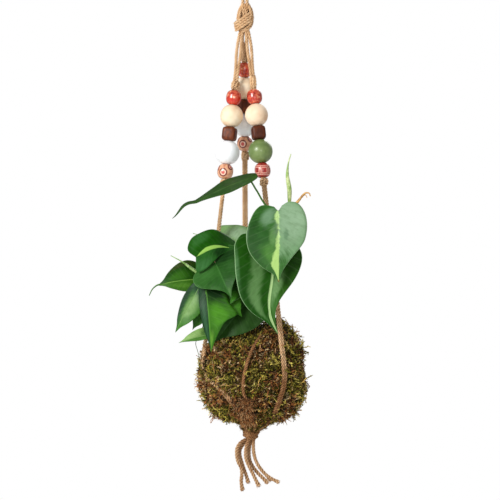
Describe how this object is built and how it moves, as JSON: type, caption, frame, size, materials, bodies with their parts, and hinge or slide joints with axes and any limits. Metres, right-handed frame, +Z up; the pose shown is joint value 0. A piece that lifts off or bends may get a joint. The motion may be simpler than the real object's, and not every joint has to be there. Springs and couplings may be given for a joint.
{
  "type": "kokedama moss ball plant",
  "caption": "Moss ball planted with a variegated heart-leaf vine, hung in a knotted jute cord hanger with coloured beads, a hanging loop and loose tails.",
  "frame": {"origin": "the hook's seat: the underside of the top of the hanging loop", "axes": "+Z up along the hanger, the leafy front faces -Y, +X to the viewer's right"},
  "size_m": [0.1482, 0.1184, 0.5424],
  "materials": {
    "jute": "twisted natural jute, hairy",
    "bead_red": "red stain, speckled, lightly glossed",
    "bead_cream": "bare pale wood, sanded smooth",
    "bead_brown": "dark brown stain, satin",
    "bead_white": "white paint, satin",
    "bead_green": "sage green paint, glossy",
    "bead_tan": "tan with painted maroon rings, glossy",
    "bead_rose": "red with pale painted bands, glossy",
    "moss": "shaggy sheet moss, olive to brown",
    "soil": "packed clay and peat mix, matt",
    "stem": "green vine stem, satin",
    "leaf": "waxy dark green leaf with pale midrib streak",
    "leaf_lime": "waxy leaf, mostly lime green",
    "new_leaf": "rolled pale green new leaf",
    "dried": "dry golden brown sheath and root"
  },
  "bodies": {
    "root": {"hanging_loop_strand_1": "jute", "hanging_loop_strand_2": "jute", "hanging_loop_strand_3": "jute", "top_knot": "jute", "cord_leg_left": "jute", "cord_leg_right": "jute", "cord_leg_back": "jute", "binding_twine": "jute", "bottom_knot": "jute", "tail_1": "jute", "tail_2": "jute", "tail_3": "jute", "tail_4": "jute", "tail_5": "jute", "tail_6": "jute", "bead_red_left": "bead_red", "bead_red_right": "bead_red", "bead_red_back": "bead_red", "bead_cream_left": "bead_cream", "bead_cream_right": "bead_cream", "bead_cream_back": "bead_cream", "bead_brown_left": "bead_brown", "bead_brown_right": "bead_brown", "bead_brown_back": "bead_brown", "bead_white_left": "bead_white", "bead_white_back": "bead_white", "bead_green_right": "bead_green", "bead_patterned_left": "bead_tan", "bead_patterned_back": "bead_tan", "bead_patterned_right": "bead_rose", "moss_skin": "moss", "soil_ball": "soil", "stem_right": "stem", "stem_left": "stem", "stem_low": "stem", "leaf_top_left": "leaf", "leaf_front_upper": "leaf", "leaf_front_lower": "leaf", "leaf_left_upper": "leaf", "leaf_behind": "leaf", "leaf_centre_left": "leaf", "leaf_far_left": "leaf", "leaf_low_left": "leaf", "leaf_low_dark": "leaf", "leaf_low_side": "leaf", "leaf_low_back": "leaf", "leaf_centre_back": "leaf", "leaf_lime_drop": "leaf_lime", "leaf_lime_side": "leaf_lime", "new_leaf_right": "new_leaf", "new_leaf_left": "new_leaf", "new_leaf_small": "new_leaf", "dried_sheath": "dried", "aerial_root": "dried"}
  },
  "joints": []
}
